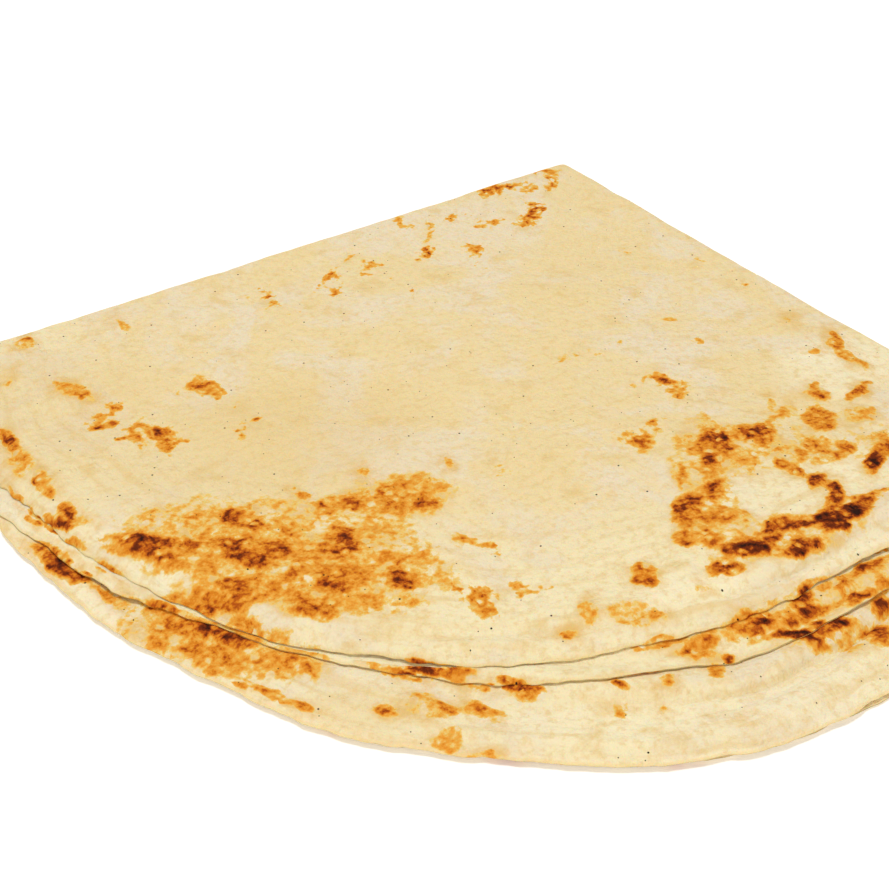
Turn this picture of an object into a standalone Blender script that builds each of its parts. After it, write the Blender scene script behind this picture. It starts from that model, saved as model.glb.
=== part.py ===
"""A large thin lavash, folded in half and in half again into a quarter-round pad of four layers.

The flat sheet is a grid spread into a disc over (u, v). The first fold turns the half with negative v over
the line v = 0. The second fold turns the half with negative u over the line u = 0, outside the first one.
What was the middle of the sheet is then the square corner of the pad, and its rim is the pad's round front,
where each layer ends at its own radius. Units are metres, the table is z = 0 and the front faces -Y.
"""

import math

import bpy
from mathutils import Vector

# The sheet, and the radii of its folds at mid-thickness
THICKNESS = 0.0020
FIRST_FOLD_RADIUS = 0.0017
INNER_FOLD_RADIUS = 0.0014

# The pad's square corner, and its two straight sides as seen from that corner
CORNER = Vector((0.0, 0.185, 0.0))
LEFT_SIDE = Vector((-1.0, -1.0, 0.0)).normalized()
RIGHT_SIDE = Vector((1.0, -1.0, 0.0)).normalized()

# The rim radius of each layer, every 15 degrees from the left side to the right side
RIM_STEP = math.radians(15)
BOTTOM_RIM = (0.300, 0.322, 0.346, 0.371, 0.369, 0.333, 0.293)
LOWER_RIM = (0.300, 0.325, 0.351, 0.371, 0.370, 0.328, 0.298)
UPPER_RIM = (0.302, 0.324, 0.337, 0.3465, 0.3365, 0.306, 0.298)
TOP_RIM = (0.301, 0.321, 0.341, 0.3455, 0.3245, 0.296, 0.287)
RIM_WAVES = ((9, 0.0009, 0.6), (17, 0.0008, 2.1), (29, 0.0006, 4.0))

# How the stack settles: its looseness away from the folds, and where it stays puffed up
SETTLED = -0.06
PUFFS = ((0.105, 0.235, 0.085, 0.70), (0.215, 0.150, 0.080, 0.40), (0.120, 0.095, 0.070, 0.15))
FOLD_FADE = 0.034
RIM_DROOP_REACH = 0.017
SKIRT_REACH = 0.011
SKIRT_SHARE = 1.15
LAYER_CLEARANCE = 0.0005

# Grid lines on each side of a fold line, in metres from it: the fold itself, the field and the rim
FOLD_LINES = (0.0009, 0.0018, 0.0027, 0.0044, 0.0062, 0.0082, 0.0120, 0.0190)
FIELD_LINE_SPACING = 0.0225
RIM_LINES = (0.0560, 0.0420, 0.0310, 0.0220, 0.0145, 0.0085, 0.0040)
GRID_RADIUS = 0.345

SECOND_FOLD_AXIS = 2 * FIRST_FOLD_RADIUS + INNER_FOLD_RADIUS
LEVELS = (
    0.0,
    2 * FIRST_FOLD_RADIUS,
    2 * SECOND_FOLD_AXIS - 2 * FIRST_FOLD_RADIUS,
    2 * SECOND_FOLD_AXIS,
)


def clear_scene():
    for obj in list(bpy.data.objects):
        bpy.data.objects.remove(obj)


def smooth(share):
    """0 up to 0, 1 from 1, and an even ramp between."""
    share = min(max(share, 0.0), 1.0)
    return share * share * (3 - 2 * share)


def through(values, place):
    """A Catmull-Rom curve through evenly spaced values, at a place between 1 and the last but two."""
    index = min(max(int(place), 1), len(values) - 3)
    share = place - index
    before, start, end, after = values[index - 1 : index + 3]
    bend = 2 * before - 5 * start + 4 * end - after
    twist = 3 * (start - end) + after - before
    return 0.5 * (2 * start + (end - before) * share + bend * share**2 + twist * share**3)


def sheet_rim_radius(angle):
    """The flat sheet's radius at an angle from the u axis: bottom, top, upper and lower layer in turn."""
    around = BOTTOM_RIM[:-1] + TOP_RIM[:0:-1] + UPPER_RIM[:-1] + LOWER_RIM[:0:-1]
    closed = around[-1:] + around + around[:2]
    waves = sum(size * math.sin(count * angle + phase) for count, size, phase in RIM_WAVES)
    return through(closed, 1 + (angle % math.tau) / RIM_STEP) + waves


def pad_rim_radius(rim, x, y):
    """A layer's rim radius in the folded pad, on the ray through (x, y)."""
    mirrored = (rim[1],) + rim + (rim[-2],)
    return through(mirrored, 1 + math.atan2(max(y, 0.0), max(x, 1e-9)) / RIM_STEP)


def first_fold(v):
    """The distance from the fold's edge and the height of a point that lay at v on the flat sheet."""
    turn = min(max(v / FIRST_FOLD_RADIUS, -math.pi / 2), math.pi / 2)
    run = abs(v) - abs(turn) * FIRST_FOLD_RADIUS
    return run + FIRST_FOLD_RADIUS * (1 - math.cos(turn)), FIRST_FOLD_RADIUS * (1 - math.sin(turn))


def second_fold(u, height):
    """The same for the second fold, which bends both layers of the first one about a common axis."""
    radius = SECOND_FOLD_AXIS - height
    turn = min(max(u / radius, -math.pi / 2), math.pi / 2)
    run = abs(u) - abs(turn) * radius
    return run + SECOND_FOLD_AXIS - radius * math.cos(turn), SECOND_FOLD_AXIS - radius * math.sin(turn)


def looseness(x, y):
    """How far the layers stand apart at a point of the pad, as a share of their height at the folds."""
    loose = SETTLED
    for centre_x, centre_y, reach, gain in PUFFS:
        loose += gain * math.exp(-((x - centre_x) ** 2 + (y - centre_y) ** 2) / reach**2)
    loose += 0.05 * math.sin(34 * x - 21 * y) + 0.04 * math.sin(27 * x + 39 * y + 1.0)
    return 1 + loose * smooth(min(x, y) / FOLD_FADE)


def layer_heights(x, y):
    """The mid-thickness heights of the four layers over a point, each drooping at its rim onto the next."""
    loose = looseness(x, y)
    away = math.hypot(x, y)
    off_folds = smooth(min(x, y) / FOLD_FADE)
    lower_rim = pad_rim_radius(LOWER_RIM, x, y)
    upper_rim = pad_rim_radius(UPPER_RIM, x, y)
    top_rim = pad_rim_radius(TOP_RIM, x, y)
    skirt = SKIRT_REACH + SKIRT_SHARE * max(lower_rim - upper_rim, 0.0)
    heights = [0.0]
    for level, rim, reach in (
        (LEVELS[1], lower_rim, skirt),
        (LEVELS[2], upper_rim, RIM_DROOP_REACH),
        (LEVELS[3], top_rim, RIM_DROOP_REACH),
    ):
        droop = (1 - smooth((rim - away) / reach)) * off_folds
        resting = heights[-1] + THICKNESS + LAYER_CLEARANCE
        heights.append(max(level * loose * (1 - droop) + resting * droop, resting))
    return heights


def settled_height(x, y, height):
    """Moves a height between the ideal levels of the folds to the same place between the settled layers."""
    heights = layer_heights(x, y)
    for low in range(len(LEVELS) - 1):
        if height <= LEVELS[low + 1] or low == len(LEVELS) - 2:
            share = (height - LEVELS[low]) / (LEVELS[low + 1] - LEVELS[low])
            return heights[low] + share * (heights[low + 1] - heights[low])


def grid_stations():
    """The grid lines from one rim through the fold line to the other rim, as shares of the sheet's radius."""
    fold_end, rim_start = FOLD_LINES[-1], GRID_RADIUS - RIM_LINES[0]
    count = round((rim_start - fold_end) / FIELD_LINE_SPACING)
    field = [fold_end + (rim_start - fold_end) * n / count for n in range(1, count)]
    near_rim = [GRID_RADIUS - distance for distance in RIM_LINES]
    side = [distance / GRID_RADIUS for distance in [*FOLD_LINES, *field, *near_rim]] + [1.0]
    return [-share for share in reversed(side)] + [0.0] + side


def folded(s, t):
    """Where a grid point ends up: spread from the square into the disc, folded twice, and settled."""
    disc_x, disc_y = s * math.sqrt(1 - t * t / 2), t * math.sqrt(1 - s * s / 2)
    radius = sheet_rim_radius(math.atan2(disc_y, disc_x))
    y, height = first_fold(disc_y * radius)
    x, height = second_fold(disc_x * radius, height)
    height = settled_height(x, y, height)
    return CORNER + x * LEFT_SIDE + y * RIGHT_SIDE + Vector((0, 0, THICKNESS / 2 + height))


def lavash_material():
    material = bpy.data.materials.new("lavash")
    material.use_nodes = True
    shader = material.node_tree.nodes["Principled BSDF"]
    shader.inputs["Base Color"].default_value = (0.80, 0.68, 0.42, 1.0)
    shader.inputs["Roughness"].default_value = 0.75
    shader.inputs["Metallic"].default_value = 0.0
    return material


def make_lavash(collection):
    stations = grid_stations()
    last = len(stations) - 1
    bpy.ops.mesh.primitive_grid_add(x_subdivisions=last, y_subdivisions=last, size=2)
    sheet = bpy.context.object
    sheet.name = sheet.data.name = "lavash"
    for vertex in sheet.data.vertices:
        column, row = (round((place + 1) / 2 * last) for place in vertex.co[:2])
        vertex.co = folded(stations[column], stations[row])
    sheet.data.shade_smooth()
    sheet.data.materials.append(lavash_material())

    thickness = sheet.modifiers.new("thickness", "SOLIDIFY")
    thickness.thickness = THICKNESS
    thickness.offset = 0.0
    thickness.use_even_offset = True
    thickness.use_quality_normals = True

    for owner in list(sheet.users_collection):
        owner.objects.unlink(sheet)
    collection.objects.link(sheet)


def main():
    clear_scene()
    collection = bpy.data.collections.new("folded_lavash")
    bpy.context.scene.collection.children.link(collection)
    make_lavash(collection)


main()
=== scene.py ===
"""The looks of the folded lavash: one thin sheet of soft dough, baked in patches and folded twice.

The sheet is built with the same two folds and the same rims as the solid that it stands for, on a much
finer grid, with wrinkles, blisters and a ragged outline. It is coloured by a procedural material that reads
values kept on the mesh, such as where a point lay on the flat sheet and how much heat it took.
"""

import math
from collections import namedtuple

import bpy
import numpy as np
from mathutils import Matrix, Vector


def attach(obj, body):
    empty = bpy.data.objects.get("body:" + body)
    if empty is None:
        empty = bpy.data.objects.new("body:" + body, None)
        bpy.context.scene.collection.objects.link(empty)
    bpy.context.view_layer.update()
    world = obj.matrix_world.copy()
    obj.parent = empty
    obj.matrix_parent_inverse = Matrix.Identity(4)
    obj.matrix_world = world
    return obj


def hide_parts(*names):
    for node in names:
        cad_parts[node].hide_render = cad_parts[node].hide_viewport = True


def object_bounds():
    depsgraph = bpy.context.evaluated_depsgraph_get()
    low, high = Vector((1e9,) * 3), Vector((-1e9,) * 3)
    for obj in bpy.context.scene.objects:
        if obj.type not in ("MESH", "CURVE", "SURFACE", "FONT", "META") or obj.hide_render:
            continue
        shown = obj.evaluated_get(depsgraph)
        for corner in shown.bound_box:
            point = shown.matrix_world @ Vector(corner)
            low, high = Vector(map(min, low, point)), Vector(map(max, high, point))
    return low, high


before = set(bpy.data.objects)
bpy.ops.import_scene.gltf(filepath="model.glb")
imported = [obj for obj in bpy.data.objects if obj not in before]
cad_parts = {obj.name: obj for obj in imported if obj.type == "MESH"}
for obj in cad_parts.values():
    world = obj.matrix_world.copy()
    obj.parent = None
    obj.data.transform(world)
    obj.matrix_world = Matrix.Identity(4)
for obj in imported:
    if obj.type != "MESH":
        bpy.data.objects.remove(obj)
cad_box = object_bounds()

# The photograph's frame, and the camera that took it: metres, degrees and pixels
FRAME_SIZE = 889
FOCAL_LENGTH = 1850
CAMERA_PLACE = np.array((0.0745, -0.5688, 0.370))
CAMERA_HEADING = 9.8
CAMERA_DOWN = 34.1
SENSOR_WIDTH = 36.0

# The sheet, and the radii of its folds at mid-thickness
THICKNESS = 0.0020
FIRST_FOLD_RADIUS = 0.0017
INNER_FOLD_RADIUS = 0.0014

# The pad's square corner, and its two straight sides as seen from that corner
CORNER = np.array((0.0, 0.185, 0.0))
LEFT_SIDE = np.array((-1.0, -1.0, 0.0)) / math.sqrt(2)
RIGHT_SIDE = np.array((1.0, -1.0, 0.0)) / math.sqrt(2)

# The rim radius of each layer, every 15 degrees from the left side to the right side
RIM_STEP = math.radians(15)
BOTTOM_RIM = (0.300, 0.322, 0.346, 0.371, 0.369, 0.333, 0.293)
LOWER_RIM = (0.300, 0.325, 0.351, 0.371, 0.370, 0.328, 0.298)
UPPER_RIM = (0.302, 0.324, 0.337, 0.3465, 0.3365, 0.306, 0.298)
TOP_RIM = (0.301, 0.321, 0.341, 0.3455, 0.3245, 0.296, 0.287)
RIM_WAVES = ((9, 0.0009, 0.6), (17, 0.0008, 2.1), (29, 0.0006, 4.0))
# The ragged outline, as the length and size of its waves
RAGGED_RIM = ((0.011, 0.0011), (0.0045, 0.0006))
# How far the folds and the ragged outline draw a layer's rim in from the radius given above
RIM_SLACK = 0.0032

# How the stack settles: its looseness away from the folds, and where it stays puffed up
SETTLED = -0.06
PUFFS = ((0.105, 0.235, 0.085, 0.70), (0.215, 0.150, 0.080, 0.40), (0.120, 0.095, 0.070, 0.15))
# The waves of its looseness: gain, rates along x and y, and phase. The finer swells: length and gain
BROAD_WAVES = ((0.05, 34, -21, 0.0), (0.04, 27, 39, 1.0))
SWELLS = ((0.052, 0.07), (0.027, 0.05), (0.016, 0.025))
FOLD_FADE = 0.034
# How far in from its rim a layer droops: the lower layer's skirt grows with the step up to the next rim
RIM_DROOP_REACH = 0.013
SKIRT_REACH = 0.011
SKIRT_SHARE = 1.15
LAYER_CLEARANCE = 0.0003

SECOND_FOLD_AXIS = 2 * FIRST_FOLD_RADIUS + INNER_FOLD_RADIUS
LEVELS = (
    0.0,
    2 * FIRST_FOLD_RADIUS,
    2 * SECOND_FOLD_AXIS - 2 * FIRST_FOLD_RADIUS,
    2 * SECOND_FOLD_AXIS,
)
BOTTOM, LOWER, UPPER, TOP = range(4)

# Grid lines in metres from a fold line, and the last few in from the rim: finer on the top layer
GRID_RADIUS = 0.345
FOLD_LINE_SPACING = 0.0011
FOLD_LINE_REACH = 0.0099
TOP_SPACING = 0.0020
COVERED_SPACING = 0.0030
RIM_SPACING = 0.0016
RIM_ZONE = 0.036
RIM_LINES = (0.0026, 0.0017, 0.0010, 0.0005, 0.0002)
TRIANGLE_LIMIT = 190000
# What stays fine when the covered parts are thinned out: this far under the next rim, and in from any rim
SHOWN_UNDER_RIM = 0.003
SHOWN_FROM_RIM = 0.004

# The edge of the sheet: it thins out towards its rim, which is rounded and has a soft bead along it
EDGE_TAPER_REACH = 0.008
EDGE_TAPER = 0.45
EDGE_ROUND = 0.0017
BEAD_INSIDE = 0.0036
BEAD_WIDTH = 0.0022
BEAD_HEIGHT = 0.0003
BEAD_WAVE_LENGTH = 0.020

# The relief of the baked surface, as the length and height of its waves: swells, pillows and puckers
SURFACE_WAVES = ((0.030, 0.00036), (0.014, 0.00032), (0.0065, 0.00014))
# How far past the next rim the waves are whole
SURFACE_WAVES_START = 0.010
# The blisters of the baked patches
BLISTER_LENGTH = 0.0085
BLISTER_HEIGHT = 0.0008
BLISTER_STEEPNESS = 1.6
# How far in from the rim the relief is whole
RELIEF_RIM_FADE = 0.003
# How far the fold edges wander from a straight line, over what length, and how far in that reaches
FOLD_WAVE = 0.0016
FOLD_WAVE_LENGTH = 0.060
FOLD_WAVE_REACH = 0.050
# The rows of the noise that the two fold edges follow, so that they differ
RIGHT_EDGE_ROW = 0.1
LEFT_EDGE_ROW = 0.7
# How far apart the sheet's two faces lie in the material's noises, so that each has a pattern of its own
FACES_APART = 0.5
NOISE_SEEDS = range(11, 16)


def smooth(share):
    """0 up to 0, 1 from 1, and a soft ramp between."""
    share = np.clip(share, 0.0, 1.0)
    return share * share * (3 - 2 * share)


class Noise:
    """Smooth random values over a plane, between about -1 and 1, the same on every run."""

    # The grid's size, what brings the values near -1 to 1, and how far an octave is shifted from the last
    SIZE = 256
    GAIN = 1.5
    OCTAVE_SHIFT = (7.7, -3.1)

    def __init__(self, seed):
        turn = np.random.default_rng(seed).uniform(0, math.tau, (self.SIZE, self.SIZE))
        self.slope_x, self.slope_y = np.cos(turn), np.sin(turn)

    def rise(self, column, row, across, up):
        """How far the slope at a grid corner rises on the way from there."""
        corner = column % self.SIZE, row % self.SIZE
        return self.slope_x[corner] * across + self.slope_y[corner] * up

    def at(self, x, y, wavelength):
        """The value at (x, y), blended from the four corners of its grid cell."""
        column, row = np.floor(x / wavelength).astype(int), np.floor(y / wavelength).astype(int)
        across, up = x / wavelength - column, y / wavelength - row
        near, far = self.rise(column, row, across, up), self.rise(column + 1, row, across - 1, up)
        lower = near + (far - near) * smooth(across)
        near = self.rise(column, row + 1, across, up - 1)
        far = self.rise(column + 1, row + 1, across - 1, up - 1)
        upper = near + (far - near) * smooth(across)
        return self.GAIN * (lower + (upper - lower) * smooth(up))

    def layered(self, x, y, wavelength, octaves=3):
        """Noise with finer noise on it, each octave half as long and half as high."""
        shift_x, shift_y = self.OCTAVE_SHIFT
        total = 0
        for n in range(octaves):
            total = total + self.at(x + shift_x * n, y + shift_y * n, wavelength / 2**n) / 2**n
        return total / (2 - 2 ** (1 - octaves))


RIM_NOISE, SWELL_NOISE, BLISTER_NOISE, WRINKLE_NOISE, HEAT_NOISE = map(Noise, NOISE_SEEDS)


def through(values, place):
    """A Catmull-Rom curve through evenly spaced values, at places between 1 and the last but two."""
    values = np.asarray(values)
    index = np.clip(place.astype(int), 1, len(values) - 3)
    share = place - index
    before, start, end, after = (values[index + n] for n in (-1, 0, 1, 2))
    bend = 2 * before - 5 * start + 4 * end - after
    twist = 3 * (start - end) + after - before
    return 0.5 * (2 * start + (end - before) * share + bend * share**2 + twist * share**3)


def sheet_rim_radius(angle):
    """The flat sheet's radius at an angle from the u axis: bottom, top, upper and lower layer in turn."""
    around = BOTTOM_RIM[:-1] + TOP_RIM[:0:-1] + UPPER_RIM[:-1] + LOWER_RIM[:0:-1]
    closed = around[-1:] + around + around[:2]
    radius = through(closed, 1 + (angle % math.tau) / RIM_STEP)
    for count, size, phase in RIM_WAVES:
        radius = radius + size * np.sin(count * angle + phase)
    x, y = GRID_RADIUS * np.cos(angle), GRID_RADIUS * np.sin(angle)
    for wavelength, size in RAGGED_RIM:
        radius = radius + size * RIM_NOISE.at(x, y, wavelength)
    return radius


def pad_angle(x, y):
    """The angle of a point of the pad from its left side, seen from the square corner."""
    return np.arctan2(np.maximum(y, 0.0), np.maximum(x, 1e-9))


def pad_rim_radius(rim, x, y):
    """A layer's rim radius in the folded pad, on the ray through (x, y)."""
    mirrored = (rim[1],) + rim + (rim[-2],)
    return through(mirrored, 1 + pad_angle(x, y) / RIM_STEP)


def first_fold(v):
    """The distance from the fold's edge and the height of a point that lay at v on the flat sheet."""
    turn = np.clip(v / FIRST_FOLD_RADIUS, -math.pi / 2, math.pi / 2)
    run = np.abs(v) - np.abs(turn) * FIRST_FOLD_RADIUS
    return run + FIRST_FOLD_RADIUS * (1 - np.cos(turn)), FIRST_FOLD_RADIUS * (1 - np.sin(turn))


def second_fold(u, height):
    """The same for the second fold, which bends both layers of the first one about a common axis."""
    radius = SECOND_FOLD_AXIS - height
    turn = np.clip(u / radius, -math.pi / 2, math.pi / 2)
    run = np.abs(u) - np.abs(turn) * radius
    return run + SECOND_FOLD_AXIS - radius * np.cos(turn), SECOND_FOLD_AXIS - radius * np.sin(turn)


def looseness(x, y):
    """How far the layers stand apart at a point of the pad, as a share of their height at the folds."""
    loose = SETTLED
    for centre_x, centre_y, reach, gain in PUFFS:
        loose = loose + gain * np.exp(-((x - centre_x) ** 2 + (y - centre_y) ** 2) / reach**2)
    for gain, x_rate, y_rate, phase in BROAD_WAVES:
        loose = loose + gain * np.sin(x_rate * x + y_rate * y + phase)
    for wavelength, gain in SWELLS:
        loose = loose + gain * SWELL_NOISE.at(x, y, wavelength)
    return 1 + loose * smooth(np.minimum(x, y) / FOLD_FADE)


# Long soft wrinkles along the rims: their layer, from and to in degrees from the left side, how far
# inside the layer's rim they run, their half-width and their height, in metres
Wrinkle = namedtuple("Wrinkle", "layer start end inside width height")
WRINKLES = (
    Wrinkle(TOP, 36, 90, 0.0046, 0.0034, 0.0011),
    Wrinkle(TOP, 56, 90, 0.0098, 0.0020, -0.0018),
    Wrinkle(TOP, 62, 84, 0.0160, 0.0030, 0.0009),
    Wrinkle(TOP, 38, 58, 0.0120, 0.0030, -0.0008),
    Wrinkle(TOP, 8, 34, 0.0100, 0.0026, -0.0009),
    Wrinkle(UPPER, 34, 62, 0.0050, 0.0020, -0.0009),
    Wrinkle(UPPER, 44, 82, 0.0080, 0.0022, 0.0008),
    Wrinkle(LOWER, 30, 90, 0.0040, 0.0032, 0.0006),
    Wrinkle(LOWER, 46, 90, 0.0280, 0.0056, 0.0026),
    Wrinkle(LOWER, 50, 90, 0.0215, 0.0020, -0.0018),
    Wrinkle(LOWER, 48, 66, 0.0170, 0.0020, -0.0012),
    Wrinkle(LOWER, 56, 88, 0.0125, 0.0050, 0.0018),
    Wrinkle(LOWER, 28, 50, 0.0150, 0.0040, 0.0011),
    Wrinkle(LOWER, 14, 36, 0.0080, 0.0030, -0.0009),
)
# How the wrinkles fade out at their ends, in degrees, and how far they wander, over what length, each in
# rows of its own in the noise
WRINKLE_FADE = 7
WRINKLE_WANDER = 0.0035
WRINKLE_WANDER_LENGTH = 0.030
WRINKLE_ROWS_APART = 40
# How far inside its rim a layer lies flat again on the one below
WRINKLE_RIM_FADE = 0.0055
# Finer streaks of relief along the rims: how long and how wide they are, how deep, and how far in they go
STREAK_LENGTH = 0.055
STREAK_WIDTH = 0.0062
STREAK_HEIGHT = 0.00055
STREAK_REACH = 0.070
STREAK_FADE = 0.045
# Rows of the noise from one layer's streaks to the next one's
STREAK_LAYERS_APART = 9.3
# Where a layer's rim stands up from the one below: layer, degrees from the left side, half-width, height
Lift = namedtuple("Lift", "layer middle half_width height")
LIFTS = (
    Lift(TOP, 75, 10, 0.0011),
    Lift(UPPER, 73, 10, 0.0010),
    Lift(UPPER, 26, 9, 0.0010),
)
LIFT_REACH = 0.022


def wrinkled(layer, rim, x, y):
    """How far a layer's wrinkles lift it over a point of the pad."""
    angle = np.degrees(pad_angle(x, y))
    inside = rim - np.hypot(x, y)
    lift = 0.0
    for wrinkle in WRINKLES:
        if wrinkle.layer == layer:
            ends = smooth((angle - wrinkle.start) / WRINKLE_FADE)
            ends = ends * smooth((wrinkle.end - angle) / WRINKLE_FADE)
            row = y + wrinkle.inside * WRINKLE_ROWS_APART
            centre = wrinkle.inside + WRINKLE_WANDER * WRINKLE_NOISE.at(x, row, WRINKLE_WANDER_LENGTH)
            ridge = np.exp(-(((inside - centre) / wrinkle.width) ** 2))
            lift = lift + wrinkle.height * ends * ridge
    along = np.radians(angle) * GRID_RADIUS / STREAK_LENGTH
    streak = WRINKLE_NOISE.layered(along, inside / STREAK_WIDTH + STREAK_LAYERS_APART * layer, 1.0)
    return lift + STREAK_HEIGHT * streak * smooth((STREAK_REACH - inside) / STREAK_FADE)


def lifted(layer, rim, x, y):
    """How far a layer's rim stands up from the layer below it."""
    angle = np.degrees(pad_angle(x, y))
    near_rim = smooth(1 - (rim - np.hypot(x, y)) / LIFT_REACH)
    lift = 0.0
    for place in LIFTS:
        if place.layer == layer:
            spread = smooth(1 - np.abs(angle - place.middle) / place.half_width)
            lift = lift + place.height * near_rim * spread
    return lift


def taper(inside):
    """The sheet's thickness at a distance inside its rim, as a share of its full thickness."""
    return 1 - EDGE_TAPER * (1 - smooth(inside / EDGE_TAPER_REACH))


def layer_heights(x, y):
    """How high the four layers' undersides lie over a point, each drooping at its rim onto the next."""
    loose = looseness(x, y)
    away = np.hypot(x, y)
    off_folds = smooth(np.minimum(x, y) / FOLD_FADE)
    rims = [pad_rim_radius(rim, x, y) for rim in (BOTTOM_RIM, LOWER_RIM, UPPER_RIM, TOP_RIM)]
    skirt = SKIRT_REACH + SKIRT_SHARE * np.maximum(rims[LOWER] - rims[UPPER], 0.0)
    reaches = {LOWER: skirt, UPPER: RIM_DROOP_REACH, TOP: RIM_DROOP_REACH}
    heights = [np.zeros_like(x)]
    for layer in (LOWER, UPPER, TOP):
        inside = rims[layer] - RIM_SLACK - away
        droop = (1 - smooth(inside / reaches[layer])) * off_folds
        resting = heights[-1] + THICKNESS * taper(rims[layer - 1] - away) + LAYER_CLEARANCE
        height = LEVELS[layer] * loose * (1 - droop) + resting * droop
        lift = wrinkled(layer, rims[layer], x, y) * smooth(inside / WRINKLE_RIM_FADE)
        lift = lift + lifted(layer, rims[layer], x, y)
        heights.append(np.maximum(np.maximum(height, resting) + off_folds * lift, resting))
    return heights


def settled_height(x, y, height):
    """Moves a height between the ideal levels of the folds to the same place between the settled layers."""
    heights = layer_heights(x, y)
    settled = heights[BOTTOM]
    for layer in (LOWER, UPPER, TOP):
        below, above = LEVELS[layer - 1], LEVELS[layer]
        share = np.clip((height - below) / (above - below), 0.0, 1.0)
        between = heights[layer - 1] + share * (heights[layer] - heights[layer - 1])
        settled = np.where(height > below, between, settled)
    return settled


def evenly(start, end, spacing):
    """Evenly spaced values from start up to, but not including, end."""
    return np.linspace(start, end, round((end - start) / spacing) + 1)[:-1]


def side_lines(spacing):
    """Grid lines from a fold line to the rim, as shares of the sheet's radius."""
    fold = evenly(FOLD_LINE_SPACING, FOLD_LINE_REACH, FOLD_LINE_SPACING)
    field = evenly(FOLD_LINE_REACH, GRID_RADIUS - RIM_ZONE, spacing)
    zone = evenly(GRID_RADIUS - RIM_ZONE, GRID_RADIUS - RIM_LINES[0], RIM_SPACING)
    rim = GRID_RADIUS - np.array(RIM_LINES)
    return np.concatenate((fold, field, zone, rim, [GRID_RADIUS])) / GRID_RADIUS


# Where the sheet took heat, as ellipses in the photograph's frame: centre, half-length and half-width in
# pixels, turn in degrees, and heat, from 0.3 for a faint fleck to 1 for a scorched one
# A few rows below are painted shade or shadow rather than heat, and are marked so
Scorch = namedtuple("Scorch", "x y length width turn heat")
LEFT_SCORCHES = (
    Scorch(23, 345, 6, 4, 0, 0.50),
    Scorch(123, 326, 5, 3, 0, 0.42),
    Scorch(8, 383, 6, 6, 0, 0.32),
    Scorch(75, 392, 22, 6, 22, 0.46),
    Scorch(62, 387, 9, 6, 10, 0.60),
    Scorch(15, 450, 17, 7, 50, 0.72),
    Scorch(22, 467, 11, 9, 0, 0.46),
    Scorch(49, 485, 11, 7, 30, 0.72),
    Scorch(73, 512, 7, 9, 0, 0.78),
    Scorch(62, 526, 13, 5, 14, 0.90),
    Scorch(82, 525, 12, 4, -12, 0.66),
    Scorch(52, 518, 8, 4, 0, 0.58),
    Scorch(19, 497, 15, 3, 45, 0.46),
    Scorch(33, 516, 14, 3, 40, 0.40),
)
FRONT_SCORCHES = (
    Scorch(285, 553, 140, 44, 6, 0.42),
    Scorch(225, 643, 90, 26, 12, 0.42),
    Scorch(385, 503, 62, 22, -12, 0.36),
    Scorch(355, 592, 70, 20, 8, 0.36),
    Scorch(150, 545, 42, 11, 3, 0.74),
    Scorch(242, 519, 30, 9, 15, 0.74),
    Scorch(251, 553, 28, 14, 0, 0.82),
    Scorch(299, 531, 22, 13, 0, 0.52),
    Scorch(337, 540, 21, 13, 0, 0.80),
    Scorch(345, 504, 34, 10, -12, 0.68),
    Scorch(408, 497, 32, 15, -15, 0.66),
    Scorch(427, 505, 14, 8, 0, 0.74),
    Scorch(363, 473, 7, 4, 0, 0.62),
    Scorch(302, 492, 7, 4, 10, 0.56),
    Scorch(441, 462, 6, 4, 0, 0.50),
    Scorch(382, 558, 9, 6, 0, 0.66),
    Scorch(405, 581, 20, 9, 15, 0.76),
    Scorch(331, 578, 22, 15, 0, 0.80),
    Scorch(283, 566, 26, 14, 0, 0.58),
    Scorch(251, 588, 28, 11, 0, 0.76),
    Scorch(207, 601, 30, 13, 0, 0.68),
    Scorch(309, 605, 42, 12, 12, 0.56),
    Scorch(372, 603, 18, 10, 0, 0.60),
    Scorch(194, 562, 28, 10, 10, 0.60),
    Scorch(360, 575, 20, 12, 0, 0.52),
    Scorch(172, 612, 26, 10, 10, 0.66),
    Scorch(189, 628, 30, 12, 10, 0.74),
    Scorch(238, 638, 30, 9, 5, 0.72),
    Scorch(210, 655, 34, 10, 12, 0.68),
    Scorch(284, 661, 34, 9, 10, 0.58),
    Scorch(259, 690, 18, 4, 20, 0.70),
    Scorch(297, 705, 18, 4, 12, 0.52),
)
LEFT_RIM_SCORCHES = (
    Scorch(55, 563, 24, 6, 38, 0.84),
    Scorch(80, 577, 16, 4, 28, 0.72),
    Scorch(101, 594, 15, 4, 35, 0.66),
    # The next three are painted golden shade rather than heat, the last two in the gap under the rim above
    Scorch(126, 610, 24, 8, 30, 0.38),
    Scorch(48, 566, 44, 5, 38, 0.20),
    Scorch(104, 590, 34, 5, 34, 0.24),
    Scorch(65, 558, 6, 3, 20, 0.66),
    Scorch(108, 567, 14, 5, 32, 0.74),
    Scorch(73, 545, 7, 4, 20, 0.60),
    Scorch(86, 571, 6, 2, 20, 0.76),
)
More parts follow.
